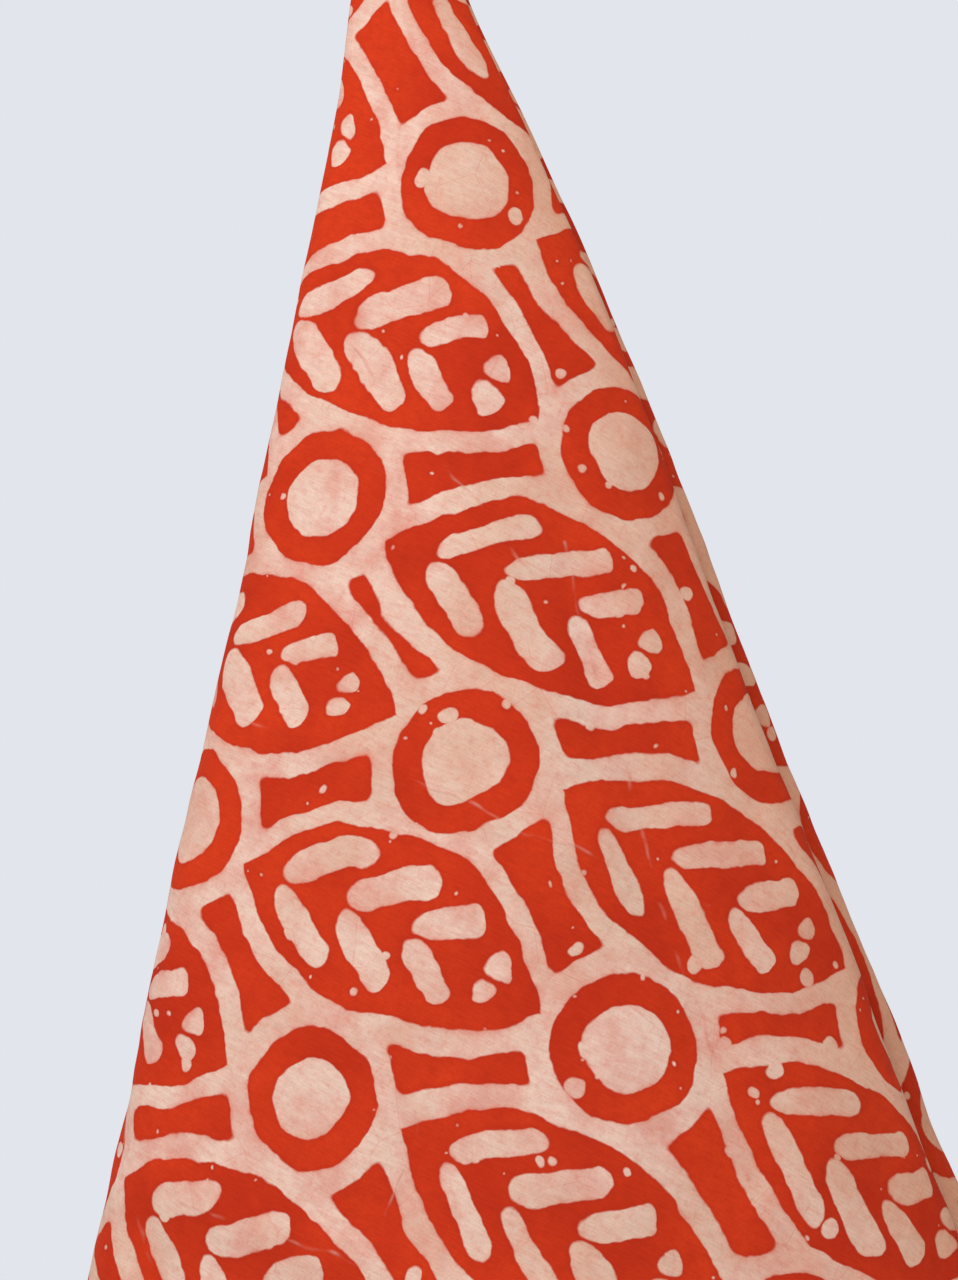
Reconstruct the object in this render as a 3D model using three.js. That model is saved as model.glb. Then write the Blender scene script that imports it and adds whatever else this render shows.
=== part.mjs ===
// Length of batik cloth hung from one corner. It wraps round on itself into a
// tall cone that is open below, with two folds down its right side and a narrow
// slit between its two free edges at the back left.
// Millimetres, +Z up. The front faces -Y and the hanging corner is the origin.
import * as THREE from 'three';

// Flat size of the cloth: one yard by 45 inches.
const SHORT_SIDE = 914;
const LONG_SIDE = 1143;
const THICKNESS = 1.5;

// Distance down from the corner over which the cloth reaches its thickness.
const CORNER_TAPER = 75;

// Slight narrowing below the corner. Distances are measured down the cloth.
const WAIST = { share: 0.07, middle: 150, reach: 75 };

// Sideways leans of the gathered cloth, as shares of the distance down it.
const LEANS = [
  { share: -0.036, middle: 110, reach: 55 },
  { share: 0.012, middle: 300, reach: 200 },
];

// Level section of the hung cloth, for one unit of drop. It is followed from the
// long free edge at the back left, across the front and back along the rear.
// Each row is a run of cloth and the angle that it turns through, in degrees.
const START = { across: -0.151, forward: 0.009, heading: -144 };
const BENDS = [
  { name: 'left back', run: 0.087, turn: -41 },
  { name: 'left ridge', run: 0.229, turn: -143 },
  { name: 'front left', run: 0.211, turn: -20 },
  { name: 'front middle', run: 0.185, turn: -27 },
  { name: 'front right', run: 0.141, turn: -25 },
  { name: 'first ridge', run: 0.082, turn: -130 },
  { name: 'first flank', run: 0.035, turn: 15 },
  { name: 'valley', run: 0.042, turn: 140 },
  { name: 'second flank', run: 0.059, turn: 3 },
  { name: 'second ridge', run: 0.084, turn: -159 },
  { name: 'right back', run: 0.152, turn: -75 },
  { name: 'tuck', run: 0.090, turn: 131 },
  { name: 'back', run: 0.135, turn: -69 },
  { name: 'back left', run: 0.043, turn: -29 },
  { name: 'inner edge', run: 0.090, turn: -36 },
];

// Soft hollows (-) and swells (+) that open towards the hem. Angle and half width
// are degrees at the corner of the flat cloth. Depth is reached from start to full.
const SWELLS = [
  { angle: 6, half: 5, depth: -9, start: 350, full: 1000 },
  { angle: 14, half: 4, depth: 5, start: 500, full: 1100 },
  { angle: 23, half: 5, depth: -10, start: 620, full: 1200 },
  { angle: 31, half: 4, depth: 8, start: 800, full: 1300 },
  { angle: 38, half: 4, depth: -11, start: 900, full: 1400 },
  { angle: 44, half: 4, depth: 7, start: 700, full: 1200 },
  { angle: 67, half: 4, depth: 6, start: 400, full: 950 },
  { angle: 81, half: 5, depth: -7, start: 350, full: 900 },
];

// Rows of the mesh, as shares of the way from the corner to the hem.
const DOWN = [0.03, 0.07, 0.12, 0.19, 0.28, 0.38, 0.48, 0.58, 0.68, 0.78, 0.87, 0.94, 1];
const TRACE_STEP = 0.0005;
const DEGREE = Math.PI / 180;
const QUARTER_TURN = Math.PI / 2;
const HEM_CORNER = Math.atan2(SHORT_SIDE, LONG_SIDE);

function smooth(x) {
  const k = Math.min(Math.max(x, 0), 1);
  return k * k * (3 - 2 * k);
}

// Heading of the section at a distance along it.
function headingAt(distance) {
  let heading = START.heading * DEGREE;
  let passed = 0;
  for (const bend of BENDS) {
    heading += bend.turn * DEGREE * smooth((distance - passed) / bend.run);
    passed += bend.run;
  }
  return heading;
}

// Points of the section with the flat angle of the cloth that each one has.
function traceSection() {
  const total = BENDS.reduce((sum, bend) => sum + bend.run, 0);
  const count = Math.round(total / TRACE_STEP);
  const step = total / count;
  const rows = [];
  let across = START.across;
  let forward = START.forward;
  let angle = 0;
  let before = null;
  for (let i = 0; i <= count; i += 1) {
    const ray = new THREE.Vector3(across, -forward, -1).normalize();
    if (before) angle += before.angleTo(ray);
    rows.push({ distance: i * step, across, forward, angle });
    before = ray;
    const heading = headingAt((i + 0.5) * step);
    across += Math.cos(heading) * step;
    forward += Math.sin(heading) * step;
  }
  return rows;
}

const SECTION = traceSection();

// Value of one column of the section at a value of another column.
function lookUp(key, value, wanted) {
  let low = 0;
  let high = SECTION.length - 1;
  while (high - low > 1) {
    const middle = (low + high) >> 1;
    if (SECTION[middle][key] <= value) low = middle;
    else high = middle;
  }
  const a = SECTION[low];
  const b = SECTION[high];
  return THREE.MathUtils.mapLinear(value, a[key], b[key], a[wanted], b[wanted]);
}

// Share of a row at a slant distance: full at its middle, fading over its reach.
function shareAt(row, slant) {
  return row.share * Math.exp(-(((slant - row.middle) / row.reach) ** 2));
}

// Direction from the corner down the cloth at a flat angle and slant distance.
function rayAt(angle, slant) {
  const narrow = 1 - shareAt(WAIST, slant);
  const lean = LEANS.reduce((sum, row) => sum + shareAt(row, slant), 0);
  const across = lookUp('angle', angle, 'across') * narrow + lean;
  const forward = lookUp('angle', angle, 'forward') * narrow;
  return new THREE.Vector3(across, -forward, -1).normalize();
}

function swellAt(angle, slant) {
  let height = 0;
  for (const swell of SWELLS) {
    const off = Math.abs(angle / DEGREE - swell.angle) / swell.half;
    if (off < 1) {
      const open = smooth((slant - swell.start) / (swell.full - swell.start));
      height += swell.depth * open * 0.5 * (1 + Math.cos(Math.PI * off));
    }
  }
  return height;
}

// Outward direction of a surface given by a function of flat angle and slant.
function outwardOf(surface, angle, slant) {
  const turn = 0.1 * DEGREE;
  const low = Math.max(angle - turn, 0);
  const high = Math.min(angle + turn, QUARTER_TURN);
  const tangent = surface(high, slant).sub(surface(low, slant));
  const ruling = surface(angle, slant + 0.5).sub(surface(angle, slant - 0.5));
  return ruling.cross(tangent).normalize();
}

function plainSheet(angle, slant) {
  return rayAt(angle, slant).multiplyScalar(slant);
}

function swelledSheet(angle, slant) {
  const outward = outwardOf(plainSheet, angle, slant);
  return plainSheet(angle, slant).addScaledVector(outward, swellAt(angle, slant));
}

// Slant distance of the hem: the long side's far edge, then the short side's.
function hemAt(angle) {
  return Math.min(LONG_SIDE / Math.cos(angle), SHORT_SIDE / Math.max(Math.sin(angle), 1e-9));
}

// Flat angles of the mesh columns, closer together where the cloth turns tightly.
function columnAngles() {
  const angles = [0];
  let passed = 0;
  for (const bend of BENDS) {
    const steps = Math.ceil(Math.max(Math.abs(bend.turn) / 15, bend.run / 0.03));
    for (let i = 1; i <= steps; i += 1) {
      angles.push(lookUp('distance', passed + (bend.run * i) / steps, 'angle'));
    }
    passed += bend.run;
  }
  const apart = 0.6 * DEGREE;
  const kept = angles.filter(
    (angle) => Math.abs(angle - HEM_CORNER) > apart && angle < QUARTER_TURN - apart,
  );
  return [...kept, HEM_CORNER, QUARTER_TURN].sort((a, b) => a - b);
}

// The cloth as one closed solid: an outer face, an inner face and a thin edge.
function makeCloth() {
  const angles = columnAngles();
  const last = angles.length - 1;
  const points = [0, 0, 0];
  for (const share of DOWN) {
    for (const angle of angles) {
      const slant = share * hemAt(angle);
      const half = 0.5 * THICKNESS * Math.min(slant / CORNER_TAPER, 1);
      const middle = swelledSheet(angle, slant);
      const outward = outwardOf(swelledSheet, angle, slant);
      for (const side of [half, -half]) {
        points.push(...middle.clone().addScaledVector(outward, side).toArray());
      }
    }
  }
  const outer = (column, row) => (row < 0 ? 0 : 1 + 2 * (row * angles.length + column));
  const inner = (column, row) => (row < 0 ? 0 : outer(column, row) + 1);
  const faces = [];
  const addFace = (a, b, c) => {
    if (a !== b && b !== c && a !== c) faces.push(a, b, c);
  };
  DOWN.forEach((_, row) => {
    for (let column = 0; column < last; column += 1) {
      addFace(outer(column, row - 1), outer(column, row), outer(column + 1, row));
      addFace(outer(column, row - 1), outer(column + 1, row), outer(column + 1, row - 1));
      addFace(inner(column, row - 1), inner(column + 1, row), inner(column, row));
      addFace(inner(column, row - 1), inner(column + 1, row - 1), inner(column + 1, row));
    }
    addFace(inner(0, row - 1), inner(0, row), outer(0, row));
    addFace(inner(0, row - 1), outer(0, row), outer(0, row - 1));
    addFace(outer(last, row - 1), outer(last, row), inner(last, row));
    addFace(outer(last, row - 1), inner(last, row), inner(last, row - 1));
  });
  const hem = DOWN.length - 1;
  for (let column = 0; column < last; column += 1) {
    addFace(inner(column, hem), inner(column + 1, hem), outer(column + 1, hem));
    addFace(inner(column, hem), outer(column + 1, hem), outer(column, hem));
  }
  const geometry = new THREE.BufferGeometry();
  geometry.setAttribute('position', new THREE.Float32BufferAttribute(points, 3));
  geometry.setIndex(faces);
  geometry.computeVertexNormals();
  return geometry;
}

const part = new THREE.Group();
part.name = 'batik_cloth_length';

const cloth = new THREE.Mesh(
  makeCloth(),
  new THREE.MeshStandardMaterial({ color: 0xd0432c, roughness: 0.9, side: THREE.DoubleSide }),
);
cloth.name = 'cloth';
part.add(cloth);

export default part;
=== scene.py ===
"""Length of red and pale batik cotton, hung from one corner in a tall folded cone."""

import math

import bpy
from mathutils import Matrix, Vector


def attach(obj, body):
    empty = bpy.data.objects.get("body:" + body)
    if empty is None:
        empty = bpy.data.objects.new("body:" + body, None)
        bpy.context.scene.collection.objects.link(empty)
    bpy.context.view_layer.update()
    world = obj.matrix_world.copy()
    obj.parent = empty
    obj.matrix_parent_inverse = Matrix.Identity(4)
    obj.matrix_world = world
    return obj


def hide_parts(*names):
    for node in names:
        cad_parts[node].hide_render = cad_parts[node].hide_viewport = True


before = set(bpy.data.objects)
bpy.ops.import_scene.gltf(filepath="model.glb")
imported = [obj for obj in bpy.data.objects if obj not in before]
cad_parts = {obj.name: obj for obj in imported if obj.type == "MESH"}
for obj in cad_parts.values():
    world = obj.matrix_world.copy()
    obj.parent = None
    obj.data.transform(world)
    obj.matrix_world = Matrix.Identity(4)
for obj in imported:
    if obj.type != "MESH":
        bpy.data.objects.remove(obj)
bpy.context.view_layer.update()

# Flat size of the cloth, in metres.
SHORT_SIDE = 0.914
LONG_SIDE = 1.143
CLOTH_THICKNESS = 0.0006
HEM_CORNER = math.atan2(SHORT_SIDE, LONG_SIDE)

# Slight narrowing below the corner, measured down the cloth.
WAIST = {"share": 0.07, "middle": 0.150, "reach": 0.075}

# Sideways leans of the gathered cloth. Columns: share of the distance down, middle, reach.
LEANS = [(-0.036, 0.110, 0.055), (0.012, 0.300, 0.200)]

# Level section of the hung cloth for one unit of drop, from the long free edge at
# the back left. Columns: name, run of cloth, angle it turns through in degrees.
SECTION_START = {"across": -0.151, "forward": 0.009, "heading": -144}
BENDS = [
    ("left back", 0.087, -41),
    ("left ridge", 0.229, -143),
    ("front left", 0.211, -20),
    ("front middle", 0.185, -27),
    ("front right", 0.141, -25),
    ("first ridge", 0.082, -130),
    ("first flank", 0.035, 15),
    ("valley", 0.042, 140),
    ("second flank", 0.059, 3),
    ("second ridge", 0.084, -159),
    ("right back", 0.152, -75),
    ("tuck", 0.090, 131),
    ("back", 0.135, -69),
    ("back left", 0.043, -29),
    ("inner edge", 0.090, -36),
]

# Soft hollows and swells that open towards the hem. Columns: flat angle and half
# width in degrees, height, and the distances down the cloth where it starts and is full.
SWELLS = [
    (6, 5, -0.009, 0.35, 1.00),
    (14, 4, 0.005, 0.50, 1.10),
    (23, 5, -0.010, 0.62, 1.20),
    (31, 4, 0.008, 0.80, 1.30),
    (38, 4, -0.011, 0.90, 1.40),
    (44, 4, 0.007, 0.70, 1.20),
    (67, 4, 0.006, 0.40, 0.95),
    (81, 5, -0.007, 0.35, 0.90),
]

# Old fold and crush lines. Columns: the two ends on the flat cloth (distance along
# the short side, distance along the long side), width of the fine line, then half
# width and height of the soft ridge (+) or trough (-) that it lies in.
CREASES = [
    ((0.10, 0.30), (0.33, 0.41), 0.0016, 0.022, -0.0016),
    ((0.16, 0.52), (0.44, 0.50), 0.0014, 0.018, 0.0014),
    ((0.28, 0.36), (0.52, 0.62), 0.0018, 0.026, -0.0022),
    ((0.20, 0.78), (0.62, 0.70), 0.0016, 0.024, 0.0020),
    ((0.34, 0.58), (0.38, 0.92), 0.0014, 0.020, -0.0016),
    ((0.46, 0.44), (0.70, 0.52), 0.0016, 0.022, 0.0018),
    ((0.06, 0.66), (0.30, 0.86), 0.0018, 0.026, -0.0024),
    ((0.52, 0.80), (0.80, 0.96), 0.0016, 0.024, 0.0022),
    ((0.62, 0.20), (0.84, 0.62), 0.0018, 0.024, -0.0020),
]

# The cotton's own unevenness in the hung shape. Columns: length of the wave, share.
UNEVEN_HEIGHT = 0.006
UNEVEN_WAVES = [(0.16, 1.0), (0.06, 0.6)]

# Columns and rows of the cloth's mesh. Each stretch has the shares of the columns where it
# starts and ends, and its flat angle. The hem's corner lies on a column, and the tight
# folds get the closest columns.
MESH_COLUMNS = 226
MESH_ROWS = 196
STRETCHES = [
    (0.0, 0.36, HEM_CORNER),
    (0.36, 0.80, math.radians(66) - HEM_CORNER),
    (0.80, 1.0, math.radians(24)),
]

# The dyed design: rows of leaves and ring buds, every other row moved half a step.
LEAF_STEP = 0.290
ROW_STEP = 0.098
LEAF_LENGTH = 0.190
LEAF_WIDTH = 0.096
BUD_RADIUS = 0.038
DISC_RADIUS = 0.0225

# Looseness of the motifs, which are laid by hand: slip across and along, tilt, curve of
# the leaf's middle, and spread of the radii of a bud and its disc.
LEAF_SLIP = (0.008, 0.004)
LEAF_TILT = 0.10
LEAF_CURVE = 3.0
BUD_SLIP = (0.006, 0.004)
BUD_SPREAD = 0.004
DISC_SPREAD = 0.003

# Veins in a leaf: lean from its length, distance apart, half width and its spread, bare
# margin at the leaf's edge and its spread, and half width of the middle rib.
VEIN_LEAN = math.radians(35)
VEIN_STEP = 0.0236
VEIN_RADIUS = 0.0079
VEIN_SPREAD = 0.0036
VEIN_MARGIN = 0.0080
MARGIN_SPREAD = 0.006
RIB = 0.0036

# Pale web round the motifs: distance of its middle from them, half width, and how far
# its corners are rounded.
WEB_MIDDLE = 0.0068
WEB_HALF = 0.0062
WEB_ROUNDING = 0.012

# Wandering of the hand-laid wax. Columns: length of the wave, shift.
WAX_WANDER = [(0.055, 0.011), (0.015, 0.0036), (0.006, 0.0012)]

# Splashed wax. Columns: distance apart, radius, share of places left without a drop.
DROPS = [(0.030, 0.0050, 0.82), (0.017, 0.0022, 0.91), (0.009, 0.0008, 0.95)]
WAX_EDGE = 0.00045

THREADS_PER_METRE = 2400

# Flat angles where the painted warm shade of the outer folds starts, is full, starts to fade and
# has faded.
PAINTED_SHADE_SPAN = [math.radians(angle) for angle in (36, 54, 66, 80)]

# The photo's frame: its width, the size of a pixel at the cloth, the camera's distance and
# roll, and the place across and the height that it looks at.
PHOTO_WIDTH = 958
METRES_PER_PIXEL = 0.58e-3
CAMERA_DISTANCE = 1.5
CAMERA_ROLL = math.radians(6.75)
CAMERA_ACROSS, CAMERA_HEIGHT = -0.0092, -0.4924
SENSOR_WIDTH = 36.0

FLOOR_RADIUS = 2.6
FLOOR_FADE_START = 1.0
FLOOR_LEVEL = -1.75
CLOTH_MIDDLE = Vector((0.0, -0.1, -0.65))


def srgb(red, green, blue):
    """Linear colour from screen values of 0 to 255."""
    values = [c / 255 for c in (red, green, blue)]
    return (*[v / 12.92 if v <= 0.04045 else ((v + 0.055) / 1.055) ** 2.4 for v in values], 1.0)


# Tints of the pale cloth on both of its sides, and the warm shade painted on its outer folds.
AGED = srgb(188, 150, 124)
# Painted warm shade for the outer folds. It is not a tint of the cloth.
PAINTED_WARM_SHADE = srgb(198, 142, 110)
FLECK = srgb(150, 104, 84)


class Nodes:
    """Short calls that add nodes to a tree and return their outputs."""

    def __init__(self, tree):
        self.tree = tree

    def add(self, kind, inputs=None, **settings):
        node = self.tree.nodes.new(kind)
        for name, value in settings.items():
            setattr(node, name, value)
        for key, value in (inputs or {}).items():
            self.put(node.inputs[key], value)
        return node

    def put(self, socket, value):
        if isinstance(value, bpy.types.NodeSocket):
            self.tree.links.new(value, socket)
        else:
            socket.default_value = value

    def math(self, operation, *values):
        inputs = dict(enumerate(values))
        return self.add("ShaderNodeMath", inputs, operation=operation).outputs[0]

    def vector(self, operation, *values):
        inputs = dict(enumerate(values))
        node = self.add("ShaderNodeVectorMath", inputs, operation=operation)
        return node.outputs["Value" if operation in ("LENGTH", "DOT_PRODUCT") else 0]

    def scaled(self, vector, factor):
        node = self.add("ShaderNodeVectorMath", {0: vector}, operation="SCALE")
        self.put(node.inputs["Scale"], factor)
        return node.outputs[0]

    def split(self, vector):
        return self.add("ShaderNodeSeparateXYZ", {0: vector}).outputs

    def joined(self, x, y, z=0.0):
        return self.add("ShaderNodeCombineXYZ", {0: x, 1: y, 2: z}).outputs[0]

    def between(self, value, low, high, to_low=0.0, to_high=1.0, shape="LINEAR"):
        inputs = {"Value": value, "From Min": low, "From Max": high}
        inputs |= {"To Min": to_low, "To Max": to_high}
        return self.add("ShaderNodeMapRange", inputs, interpolation_type=shape).outputs[0]

    def noise(self, place, size, detail=2.0, roughness=0.5):
        inputs = {"Vector": place, "Scale": 1 / size, "Detail": detail, "Roughness": roughness}
        return self.add("ShaderNodeTexNoise", inputs, noise_dimensions="2D").outputs

    def cells(self, place, size, feature="F1"):
        inputs = {"Vector": place, "Scale": 1 / size}
        settings = {"voronoi_dimensions": "2D", "feature": feature}
        return self.add("ShaderNodeTexVoronoi", inputs, **settings).outputs

    def blend(self, factor, first, second, mode="MIX"):
        node = self.add("ShaderNodeMix", data_type="RGBA", blend_type=mode)
        self.put(node.inputs[0], factor)
        self.put(node.inputs[6], first)
        self.put(node.inputs[7], second)
        return node.outputs[2]


def smooth(x):
    k = min(max(x, 0.0), 1.0)
    return k * k * (3 - 2 * k)


def section_heading(distance):
    heading = math.radians(SECTION_START["heading"])
    passed = 0.0
    for _, run, turn in BENDS:
        heading += math.radians(turn) * smooth((distance - passed) / run)
        passed += run
    return heading


def section_rays(step=0.0005):
    """Unit directions from the corner down the cloth, in order round the section."""
    total = sum(run for _, run, _ in BENDS)
    count = round(total / step)
    step = total / count
    across, forward = SECTION_START["across"], SECTION_START["forward"]
    rays = []
    for i in range(count + 1):
        rays.append(Vector((across, -forward, -1)).normalized())
        heading = section_heading((i + 0.5) * step)
        across += math.cos(heading) * step
        forward += math.sin(heading) * step
    return rays


def crease_places(n, flat):
    """Distance from each old fold line, with the rest of its row."""
    wander = n.vector("SUBTRACT", n.noise(flat, 0.05)[1], (0.5, 0.5, 0.5))
    place = n.vector("ADD", flat, n.scaled(wander, 0.014))
    for start, end, *sizes in CREASES:
        run = Vector((end[0] - start[0], end[1] - start[1], 0.0))
        reach = n.vector("SUBTRACT", place, (*start, 0.0))
        share = n.vector("DOT_PRODUCT", reach, tuple(run / run.length_squared))
        share = n.math("MINIMUM", n.math("MAXIMUM", share, 0.0), 1.0)
        yield n.vector("LENGTH", n.vector("SUBTRACT", reach, n.scaled(tuple(run), share))), sizes


def section_curve():
    """The section as a curve on the unit sphere, where length is the cloth's flat angle."""
    rays = section_rays()
    curve = bpy.data.curves.new("cloth section", "CURVE")
    curve.dimensions = "3D"
    spline = curve.splines.new("POLY")
    spline.points.add(len(rays) - 1)
    for point, ray in zip(spline.points, rays):
        point.co = (*ray, 1.0)
    helper = bpy.data.objects.new("cloth section", curve)
    bpy.context.scene.collection.objects.link(helper)
    return helper


def hung_cloth_tree():
    """Sheet that starts flat, as angle and distance from its corner, and takes its hung form."""
    tree = bpy.data.node_groups.new("hung cloth", "GeometryNodeTree")
    sockets = [
        ("Section", "NodeSocketObject", None),
        ("Columns", "NodeSocketInt", 2),
        ("Rows", "NodeSocketInt", 2),
        ("Long Side", "NodeSocketFloat", LONG_SIDE),
        ("Short Side", "NodeSocketFloat", SHORT_SIDE),
        ("Waist Share", "NodeSocketFloat", 0.0),
        ("Waist Middle", "NodeSocketFloat", 0.1),
        ("Waist Reach", "NodeSocketFloat", 0.1),
        ("Unevenness", "NodeSocketFloat", 0.0),
        ("Seed", "NodeSocketFloat", 0.0),
        ("Cotton", "NodeSocketMaterial", None),
    ]
    for name, kind, value in sockets:
        socket = tree.interface.new_socket(name=name, in_out="INPUT", socket_type=kind)
        if value is not None:
            socket.default_value = value
    tree.interface.new_socket(name="Cloth", in_out="OUTPUT", socket_type="NodeSocketGeometry")
    n = Nodes(tree)
    given = n.add("NodeGroupInput").outputs

    grid = n.add(
        "GeometryNodeMeshGrid",
        {"Size X": 1.0, "Size Y": 1.0, "Vertices X": given["Columns"], "Vertices Y": given["Rows"]},
    )
    place = n.split(n.add("GeometryNodeInputPosition").outputs[0])
    side = n.math("ADD", place[0], 0.5)
    down = n.math("ADD", place[1], 0.5)

    angle = 0.0
    for low, high, width in STRETCHES:
        angle = n.math("ADD", n.between(side, low, high, 0.0, width), angle)
    to_short = n.math("DIVIDE", given["Short Side"], n.math("MAXIMUM", n.math("SINE", angle), 1e-6))
    to_long = n.math("DIVIDE", given["Long Side"], n.math("MAXIMUM", n.math("COSINE", angle), 1e-6))
    slant = n.math("MULTIPLY", down, n.math("MINIMUM", to_short, to_long))

    cloth = grid.outputs["Mesh"]
    flat = n.joined(
        n.math("MULTIPLY", slant, n.math("SINE", angle)),
        n.math("MULTIPLY", slant, n.math("COSINE", angle)),
    )
    stored = [
        ("flat_angle", "FLOAT", "POINT", angle),
        ("slant", "FLOAT", "POINT", slant),
        ("flat", "FLOAT2", "CORNER", flat),
    ]
    for name, kind, domain, value in stored:
        keep = n.add(
            "GeometryNodeStoreNamedAttribute",
            {"Geometry": cloth, "Name": name, "Value": value},
            data_type=kind,
            domain=domain,
        )
        cloth = keep.outputs[0]

    # Ray down the cloth, pulled in at the waist and leaned sideways.
    section = n.add("GeometryNodeObjectInfo", {"Object": given["Section"]}).outputs["Geometry"]
    sample = n.add(
        "GeometryNodeSampleCurve", {"Curves": section, "Length": angle}, mode="LENGTH"
    )
    ray = n.split(sample.outputs["Position"])

    def share_at(share, middle, reach):
        off = n.math("DIVIDE", n.math("SUBTRACT", slant, middle), reach)
        fall = n.math("EXPONENT", n.math("MULTIPLY", n.math("MULTIPLY", off, off), -1.0))
        return n.math("MULTIPLY", fall, share)

    waist = share_at(given["Waist Share"], given["Waist Middle"], given["Waist Reach"])
    narrow = n.math("SUBTRACT", 1.0, waist)
    across = n.math("MULTIPLY", ray[0], narrow)
    for row in LEANS:
        across = n.math("ADD", across, share_at(*row))
    pulled = n.joined(across, n.math("MULTIPLY", ray[1], narrow), ray[2])
    hung = n.scaled(n.vector("NORMALIZE", pulled), slant)
    cloth = n.add("GeometryNodeSetPosition", {"Geometry": cloth, "Position": hung}).outputs[0]
    cloth = n.add("GeometryNodeMergeByDistance", {"Geometry": cloth, "Distance": 1e-6}).outputs[0]
    cloth = n.add("GeometryNodeFlipFaces", {"Mesh": cloth}).outputs[0]

    # Swells, hollows, creases and the cotton's own unevenness, out along the face.
    def named(name):
        kept = n.add("GeometryNodeInputNamedAttribute", {"Name": name}, data_type="FLOAT")
        return kept.outputs[0]

    at_angle, at_slant = named("flat_angle"), named("slant")
    height = 0.0
    for middle, half, depth, start, full in SWELLS:
        off = n.math("ABSOLUTE", n.math("SUBTRACT", at_angle, math.radians(middle)))
        off = n.math("MINIMUM", n.math("DIVIDE", off, math.radians(half)), 1.0)
        crest = n.math("MULTIPLY_ADD", n.math("COSINE", n.math("MULTIPLY", off, math.pi)), 0.5, 0.5)
        opened = n.between(at_slant, start, full, 0.0, depth, "SMOOTHSTEP")
        height = n.math("ADD", n.math("MULTIPLY", crest, opened), height)
    on_flat = n.joined(
        n.math("MULTIPLY", at_slant, n.math("SINE", at_angle)),
        n.math("MULTIPLY", at_slant, n.math("COSINE", at_angle)),
    )
    for off, (_, half, depth) in crease_places(n, on_flat):
        height = n.math("ADD", n.between(off, half, 0.0, 0.0, depth, "SMOOTHSTEP"), height)
    seeded = n.vector("ADD", on_flat, n.joined(given["Seed"], 0.0))
    for size, share in UNEVEN_WAVES:
        wave = n.math("SUBTRACT", n.noise(seeded, size)[0], 0.5)
        lift = n.math("MULTIPLY", n.math("MULTIPLY", wave, given["Unevenness"]), share)
        lift = n.math("MULTIPLY", lift, n.between(at_slant, 0.05, 0.45))
        height = n.math("ADD", height, lift)
    out = n.scaled(n.add("GeometryNodeInputNormal").outputs[0], height)
    cloth = n.add("GeometryNodeSetPosition", {"Geometry": cloth, "Offset": out}).outputs[0]
    cloth = n.add("GeometryNodeSetShadeSmooth", {"Geometry": cloth}).outputs[0]
    cloth = n.add("GeometryNodeRealizeInstances", {"Geometry": cloth}).outputs[0]
    cloth = n.add(
        "GeometryNodeSetMaterial", {"Geometry": cloth, "Material": given["Cotton"]}
    ).outputs[0]
    n.add("NodeGroupOutput", {"Cloth": cloth})
    return tree


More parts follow.
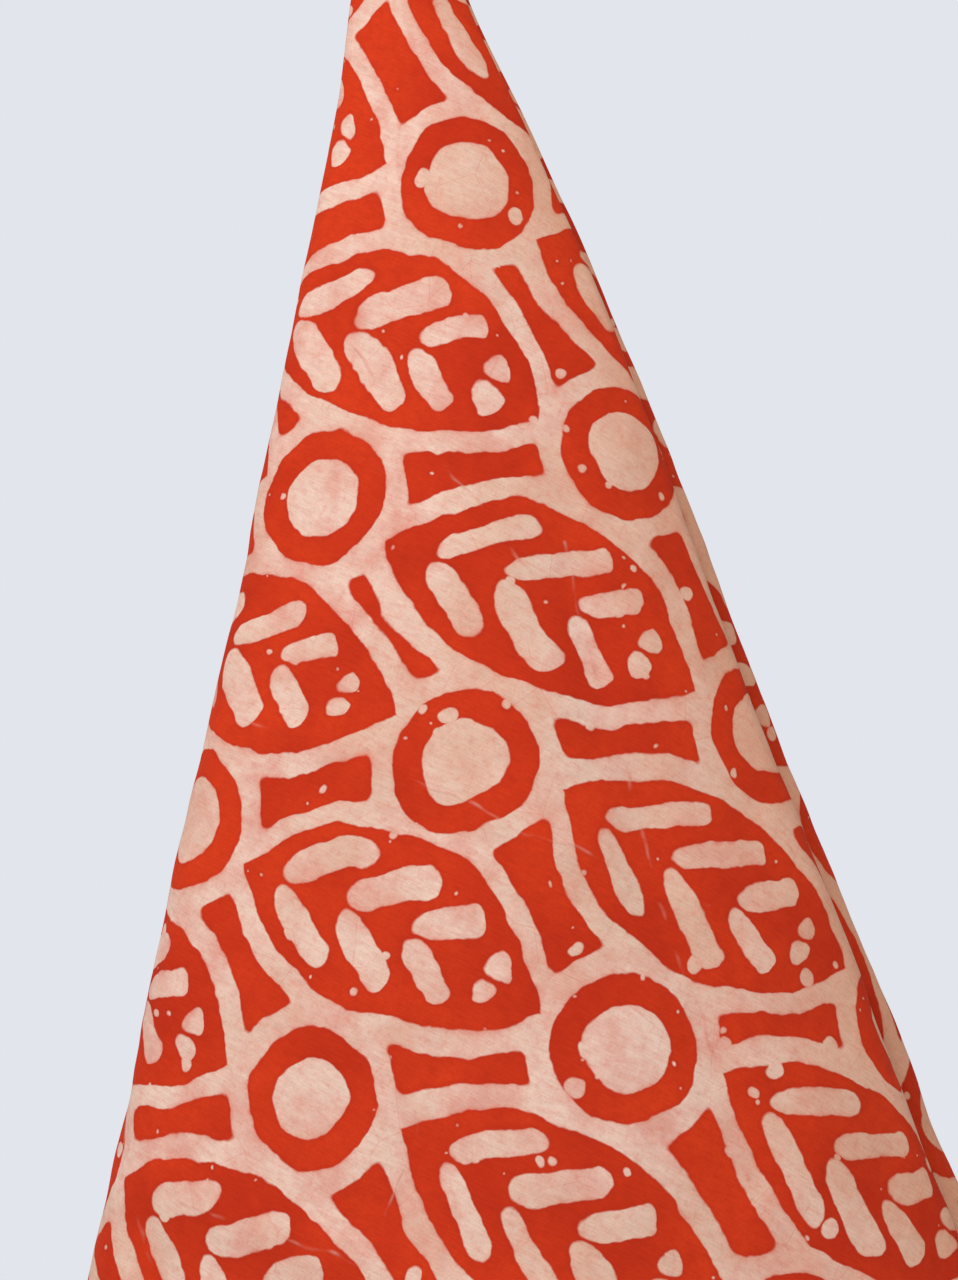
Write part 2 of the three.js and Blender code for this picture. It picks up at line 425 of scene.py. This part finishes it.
def resist_pattern():
    """Group that says where wax kept the cloth pale: leaves with veins, ring buds and a web."""
    tree = bpy.data.node_groups.new("leaf and bud resist", "ShaderNodeTree")
    tree.interface.new_socket(name="Flat", in_out="INPUT", socket_type="NodeSocketVector")
    tree.interface.new_socket(name="Wax", in_out="OUTPUT", socket_type="NodeSocketFloat")
    tree.interface.new_socket(name="Margin", in_out="OUTPUT", socket_type="NodeSocketFloat")
    n = Nodes(tree)
    flat = n.add("NodeGroupInput").outputs["Flat"]

    # Hand-cut, slightly wandering outlines.
    place = flat
    for size, shift in WAX_WANDER:
        wander = n.vector("SUBTRACT", n.noise(flat, size)[1], (0.5, 0.5, 0.5))
        place = n.vector("ADD", place, n.scaled(wander, shift))
    across, along, _ = n.split(place)

    half_length, half_width = LEAF_LENGTH / 2, LEAF_WIDTH / 2
    arc = (half_length**2 + half_width**2) / (2 * half_width)
    lean_across, lean_along = math.sin(VEIN_LEAN), math.cos(VEIN_LEAN)

    def jitter(cell, row, salt):
        inputs = {"Vector": n.joined(cell, row, salt)}
        noise = n.add("ShaderNodeTexWhiteNoise", inputs, noise_dimensions="3D").outputs["Color"]
        return n.split(n.vector("SUBTRACT", noise, (0.5, 0.5, 0.5)))

    def row_of_motifs(shift):
        row = n.math("ADD", n.math("FLOOR", n.math("DIVIDE", along, ROW_STEP)), shift)
        up = n.math("SUBTRACT", along, n.math("MULTIPLY", row, ROW_STEP))
        odd = n.math("FLOORED_MODULO", row, 2.0)
        x = n.math("SUBTRACT", across, n.math("MULTIPLY", odd, LEAF_STEP / 2))

        cell = n.math("ROUND", n.math("DIVIDE", x, LEAF_STEP))
        loose = jitter(cell, row, 0.5)
        x_leaf = n.math("SUBTRACT", x, n.math("MULTIPLY", cell, LEAF_STEP))
        x_leaf = n.math("ADD", x_leaf, n.math("MULTIPLY", loose[0], LEAF_SLIP[0]))
        y_leaf = n.math("ADD", up, n.math("MULTIPLY", loose[1], LEAF_SLIP[1]))
        tilt = n.math("MULTIPLY", n.math("MULTIPLY", loose[2], LEAF_TILT), x_leaf)
        y_leaf = n.math("ADD", y_leaf, tilt)
        curve = n.math("MULTIPLY", loose[0], LEAF_CURVE)
        bow = n.math("MULTIPLY", n.math("MULTIPLY", x_leaf, x_leaf), curve)
        side = n.math("ABSOLUTE", n.math("SUBTRACT", y_leaf, bow))
        deep = n.math("ADD", side, arc - half_width)
        leaf = n.math("SUBTRACT", n.vector("LENGTH", n.joined(x_leaf, deep)), arc)

        # Veins: bars with rounded ends, each a little broader or thinner than the next.
        swept = n.math("MULTIPLY", side, lean_along)
        swept = n.math("SUBTRACT", n.math("MULTIPLY", x_leaf, lean_across), swept)
        steps = n.math("ADD", n.math("DIVIDE", swept, VEIN_STEP), 40.25)
        off = n.math("MULTIPLY_ADD", n.math("FRACT", steps), VEIN_STEP, -VEIN_STEP / 2)
        x_line = n.math("MULTIPLY_ADD", off, -lean_across, x_leaf)
        side_line = n.math("MULTIPLY_ADD", off, lean_along, side)
        half = n.math("GREATER_THAN", y_leaf, bow)
        uneven = jitter(n.math("MULTIPLY_ADD", n.math("FLOOR", steps), 2.0, half), row, cell)
        radius = n.math("MULTIPLY_ADD", uneven[0], VEIN_SPREAD, VEIN_RADIUS)
        past = n.vector("LENGTH", n.joined(x_line, n.math("ADD", side_line, arc - half_width)))
        past = n.math("ADD", n.math("ADD", past, radius), VEIN_MARGIN - arc)
        past = n.math("MULTIPLY_ADD", uneven[1], MARGIN_SPREAD, past)
        past = n.math("MULTIPLY", n.math("MAXIMUM", past, 0.0), 1.8)
        before = n.math("SUBTRACT", n.math("ADD", radius, RIB), side_line)
        before = n.math("MAXIMUM", before, 0.0)
        bar = n.math("SUBTRACT", n.vector("LENGTH", n.joined(off, past, before)), radius)

        bud_cell = n.math("FLOOR", n.math("DIVIDE", x, LEAF_STEP))
        slip = jitter(bud_cell, row, 7.5)
        x_bud = n.math("SUBTRACT", x, n.math("MULTIPLY_ADD", bud_cell, LEAF_STEP, LEAF_STEP / 2))
        x_bud = n.math("ADD", x_bud, n.math("MULTIPLY", slip[0], BUD_SLIP[0]))
        y_bud = n.math("ADD", up, n.math("MULTIPLY", slip[1], BUD_SLIP[1]))
        from_bud = n.vector("LENGTH", n.joined(x_bud, y_bud))
        bud_radius = n.math("MULTIPLY_ADD", slip[2], BUD_SPREAD, BUD_RADIUS)
        outline = n.math("SUBTRACT", from_bud, bud_radius)
        disc_radius = n.math("MULTIPLY_ADD", slip[2], DISC_SPREAD, DISC_RADIUS)
        disc = n.math("SUBTRACT", from_bud, disc_radius)
        motif = n.math("SMOOTH_MIN", leaf, outline, WEB_ROUNDING)
        return motif, n.math("MINIMUM", bar, disc)

    first, second = row_of_motifs(0.0), row_of_motifs(1.0)
    motif = n.math("SMOOTH_MIN", first[0], second[0], WEB_ROUNDING)
    pale = n.math("MINIMUM", first[1], second[1])
    web = n.math("ABSOLUTE", n.math("SUBTRACT", motif, WEB_MIDDLE))
    web = n.math("SUBTRACT", web, WEB_HALF)
    pale = n.math("MINIMUM", pale, web)

    # Splashed wax: loose drops of three sizes on some of the red ground.
    for size, radius, bare in DROPS:
        drops = n.cells(place, size)
        chance = n.split(drops["Color"])
        width = n.math("MULTIPLY", n.math("MULTIPLY_ADD", chance[1], 0.7, 0.45), radius)
        drop = n.math("MULTIPLY_ADD", drops["Distance"], size, n.math("MULTIPLY", width, -1.0))
        drop = n.math("ADD", drop, n.math("MULTIPLY", n.math("LESS_THAN", chance[0], bare), 1.0))
        pale = n.math("MINIMUM", pale, drop)

    wax = n.between(pale, WAX_EDGE, -WAX_EDGE)
    n.add("NodeGroupOutput", {"Wax": wax, "Margin": pale})
    return tree


def crease_lines():
    """Group that draws the old fold lines, from 0 off them to 1 on them."""
    tree = bpy.data.node_groups.new("old fold lines", "ShaderNodeTree")
    tree.interface.new_socket(name="Flat", in_out="INPUT", socket_type="NodeSocketVector")
    tree.interface.new_socket(name="Line", in_out="OUTPUT", socket_type="NodeSocketFloat")
    n = Nodes(tree)
    flat = n.add("NodeGroupInput").outputs["Flat"]
    line = 0.0
    for off, (width, _, _) in crease_places(n, flat):
        line = n.math("MAXIMUM", n.between(off, width, 0.0, 0.0, 1.0, "SMOOTHSTEP"), line)
    broken = n.between(n.noise(flat, 0.03, 3.0)[0], 0.42, 0.62)
    n.add("NodeGroupOutput", {"Line": n.math("MULTIPLY", line, broken)})
    return tree


PATTERN = resist_pattern()
LINES = crease_lines()


def dyed_cotton(name, red, deep_red, pale, stained_pale, strength):
    """Plain-weave cotton, pale where wax kept the dye off."""
    material = bpy.data.materials.new(name)
    material.use_nodes = True
    tree = material.node_tree
    tree.nodes.clear()
    n = Nodes(tree)
    flat = n.add("ShaderNodeUVMap", uv_map="flat").outputs[0]
    pattern = n.add("ShaderNodeGroup", node_tree=PATTERN)
    lines = n.add("ShaderNodeGroup", node_tree=LINES)
    n.put(pattern.inputs["Flat"], flat)
    n.put(lines.inputs["Flat"], flat)
    wax, margin, line = pattern.outputs["Wax"], pattern.outputs["Margin"], lines.outputs["Line"]

    def patches(size, low, high, detail=2.0, roughness=0.5, place=flat):
        """Soft patches of one size, from 0 off them to 1 on them."""
        return n.between(n.noise(place, size, detail, roughness)[0], low, high)

    def tinted(base, towards, where, share):
        return n.blend(n.math("MULTIPLY", where, share), base, towards)

    # Uneven dye, with a little more of it along the edge of the wax.
    dye = tinted(red, deep_red, patches(0.09, 0.36, 0.66, 4.0, 0.6), 0.60)
    dye = tinted(dye, deep_red, patches(0.006, 0.35, 0.70, 3.0, 0.6), 0.22)
    dye = tinted(dye, deep_red, patches(0.0016, 0.36, 0.68, 2.0, 0.6), 0.20)
    dye = n.blend(n.between(margin, 0.0028, 0.0, 0.0, 0.30), dye, deep_red)
    dye = tinted(dye, pale, line, 0.28)

    # Pale ground: stains, streaks, age, painted warm shade on the outer folds, rubbed dye and
    # flecks.
    stain = patches(0.035, 0.40, 0.68, 5.0, 0.62)
    stretched = n.vector("MULTIPLY", flat, (1.0, 3.5, 1.0))
    ground = tinted(pale, stained_pale, stain, 0.88)
    ground = tinted(ground, stained_pale, patches(0.012, 0.42, 0.72, 3.0, place=stretched), 0.35)
    ground = tinted(ground, AGED, patches(0.110, 0.44, 0.66, 3.0, 0.55), 0.45)
    # Painted shade: the outer right-hand folds turn a warmer brown by flat angle, standing in for
    # their shading.
    turn = n.math("ARCTAN2", *n.split(flat)[:2])
    shade_starts, shade_full, shade_fades, shade_ends = PAINTED_SHADE_SPAN
    painted_shade = n.between(turn, shade_starts, shade_full, 0.0, 0.90, "SMOOTHSTEP")
    painted_shade = n.math("MULTIPLY", painted_shade, n.between(turn, shade_fades, shade_ends, 1.0, 0.3))
    ground = n.blend(painted_shade, ground, PAINTED_WARM_SHADE)
    ground = tinted(ground, red, patches(0.0045, 0.50, 0.74, 4.0, 0.7), 0.22)
    ground = tinted(ground, FLECK, patches(0.0013, 0.52, 0.72, 2.0, 0.6), 0.16)
    ground = tinted(ground, red, n.between(margin, -0.0022, 0.0, 0.0, 0.30), stain)
    ground = tinted(ground, red, line, 0.26)

    # Hair-fine crackle where the wax broke.
    crack = n.between(n.cells(flat, 0.028, "DISTANCE_TO_EDGE")["Distance"], 0.012, 0.0)
    cracked = n.math("MULTIPLY", crack, patches(0.06, 0.52, 0.60))
    ground = tinted(ground, red, cracked, 0.30)
    colour = n.blend(wax, dye, ground)

    # Threads of the plain weave, the same number each way.
    across, along, _ = n.split(n.scaled(flat, 2 * math.pi * THREADS_PER_METRE))
    weave = n.math("MULTIPLY", n.math("SINE", across), n.math("SINE", along))
    slub = n.noise(n.vector("MULTIPLY", flat, (1.0, 14.0, 1.0)), 0.010, 2.0)[0]
    thread = n.math("MULTIPLY_ADD", weave, 0.05, n.between(slub, 0.3, 0.7, 0.92, 1.04))
    colour = n.blend(1.0, colour, n.joined(thread, thread, thread), "MULTIPLY")
    faded = n.add("ShaderNodeHueSaturation", {"Saturation": strength, "Color": colour})

    pucker = n.noise(flat, 0.011, 3.0, 0.55)[0]
    crush = n.noise(flat, 0.060, 2.0, 0.5)[0]
    height = n.math("MULTIPLY", weave, 0.00003)
    height = n.math("MULTIPLY_ADD", pucker, 0.0006, height)
    height = n.math("MULTIPLY_ADD", crush, 0.0020, height)
    height = n.math("MULTIPLY_ADD", line, 0.0007, height)
    bump = n.add("ShaderNodeBump", {"Strength": 0.6, "Distance": 1.0, "Height": height})
    surface = n.add(
        "ShaderNodeBsdfPrincipled",
        {
            "Base Color": faded.outputs[0],
            "Roughness": n.between(wax, 0.0, 1.0, 0.80, 0.88),
            "Specular IOR Level": 0.03,
            "Normal": bump.outputs[0],
        },
    )
    n.add("ShaderNodeOutputMaterial", {"Surface": surface.outputs[0]})
    return material


def plain_floor():
    """Pale floor that fades out towards its rim."""
    material = bpy.data.materials.new("pale floor")
    material.use_nodes = True
    tree = material.node_tree
    tree.nodes.clear()
    n = Nodes(tree)
    place = n.add("ShaderNodeTexCoord").outputs["Object"]
    shown = n.between(n.vector("LENGTH", place), FLOOR_RADIUS, FLOOR_FADE_START)
    inputs = {"Base Color": (0.52, 0.52, 0.52, 1.0), "Roughness": 0.9, "Alpha": shown}
    surface = n.add("ShaderNodeBsdfPrincipled", inputs)
    n.add("ShaderNodeOutputMaterial", {"Surface": surface.outputs[0]})
    return material


def make_cloth():
    face = dyed_cotton(
        "dyed cotton, face",
        red=srgb(187, 52, 22),
        deep_red=srgb(156, 34, 17),
        pale=srgb(206, 175, 158),
        stained_pale=srgb(196, 138, 122),
        strength=1.0,
    )
    back = dyed_cotton(
        "dyed cotton, reverse",
        red=srgb(180, 60, 34),
        deep_red=srgb(156, 44, 26),
        pale=srgb(206, 170, 152),
        stained_pale=srgb(198, 144, 128),
        strength=0.92,
    )
    section = section_curve()
    mesh = bpy.data.meshes.new("batik cloth")
    builder = bpy.data.objects.new("batik cloth builder", mesh)
    bpy.context.scene.collection.objects.link(builder)
    tree = hung_cloth_tree()
    hang = builder.modifiers.new("hang", "NODES")
    hang.node_group = tree
    sizes = {
        "Section": section,
        "Columns": MESH_COLUMNS,
        "Rows": MESH_ROWS,
        "Long Side": LONG_SIDE,
        "Short Side": SHORT_SIDE,
        "Waist Share": WAIST["share"],
        "Waist Middle": WAIST["middle"],
        "Waist Reach": WAIST["reach"],
        "Unevenness": UNEVEN_HEIGHT,
        "Seed": 3.0,
        "Cotton": face,
    }
    for socket in tree.interface.items_tree:
        if socket.in_out == "INPUT":
            hang[socket.identifier] = sizes[socket.name]
    graph = bpy.context.evaluated_depsgraph_get()
    plain = bpy.data.meshes.new_from_object(builder.evaluated_get(graph))
    plain.name = "batik cloth"
    for helper in (builder, section):
        bpy.data.objects.remove(helper)
    cloth = bpy.data.objects.new("batik_cloth", plain)
    bpy.context.scene.collection.objects.link(cloth)
    plain.materials.clear()
    plain.materials.append(face)
    plain.materials.append(back)
    body = cloth.modifiers.new("thickness", "SOLIDIFY")
    body.thickness = CLOTH_THICKNESS
    body.offset = 0.0
    body.material_offset = 1
    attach(cloth, "root")
    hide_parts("cloth")
    return cloth


def add_floor():
    bpy.ops.mesh.primitive_circle_add(vertices=96, radius=FLOOR_RADIUS, fill_type="NGON")
    floor = bpy.context.object
    floor.name = "floor"
    floor.location = (0.0, 0.0, FLOOR_LEVEL)
    floor.data.materials.append(plain_floor())


def add_camera():
    """Level camera in front of the cloth, rolled a little as the photo is."""
    data = bpy.data.cameras.new("camera")
    data.sensor_fit = "HORIZONTAL"
    data.sensor_width = SENSOR_WIDTH
    data.lens = SENSOR_WIDTH * CAMERA_DISTANCE / METRES_PER_PIXEL / PHOTO_WIDTH
    camera = bpy.data.objects.new("camera", data)
    bpy.context.scene.collection.objects.link(camera)
    right = Vector((math.cos(CAMERA_ROLL), 0, -math.sin(CAMERA_ROLL)))
    up = Vector((math.sin(CAMERA_ROLL), 0, math.cos(CAMERA_ROLL)))
    turn = Matrix((right, up, Vector((0, -1, 0)))).transposed().to_4x4()
    place = (CAMERA_ACROSS, -CAMERA_DISTANCE, CAMERA_HEIGHT)
    camera.matrix_world = Matrix.Translation(place) @ turn
    bpy.context.scene.camera = camera


def add_light(name, place, size, power, colour=(1, 1, 1)):
    data = bpy.data.lights.new(name, "AREA")
    data.shape = "DISK"
    data.size = size
    data.energy = power
    data.color = colour
    light = bpy.data.objects.new(name, data)
    light.location = place
    aim = CLOTH_MIDDLE - light.location
    light.rotation_euler = aim.to_track_quat("-Z", "Y").to_euler()
    bpy.context.scene.collection.objects.link(light)


def add_world():
    world = bpy.data.worlds.new("pale studio")
    world.use_nodes = True
    background = world.node_tree.nodes["Background"]
    background.inputs[0].default_value = (0.76, 0.785, 0.84, 1.0)
    background.inputs[1].default_value = 1.0
    bpy.context.scene.world = world
    bpy.context.scene.view_settings.view_transform = "Standard"


make_cloth()
add_floor()
add_camera()
add_light("window light", (-0.85, -2.3, 1.9), 1.3, 99.0, (1.0, 0.985, 0.96))
add_light("rear fill", (0.0, 2.8, 0.4), 2.0, 20.0)
add_world()
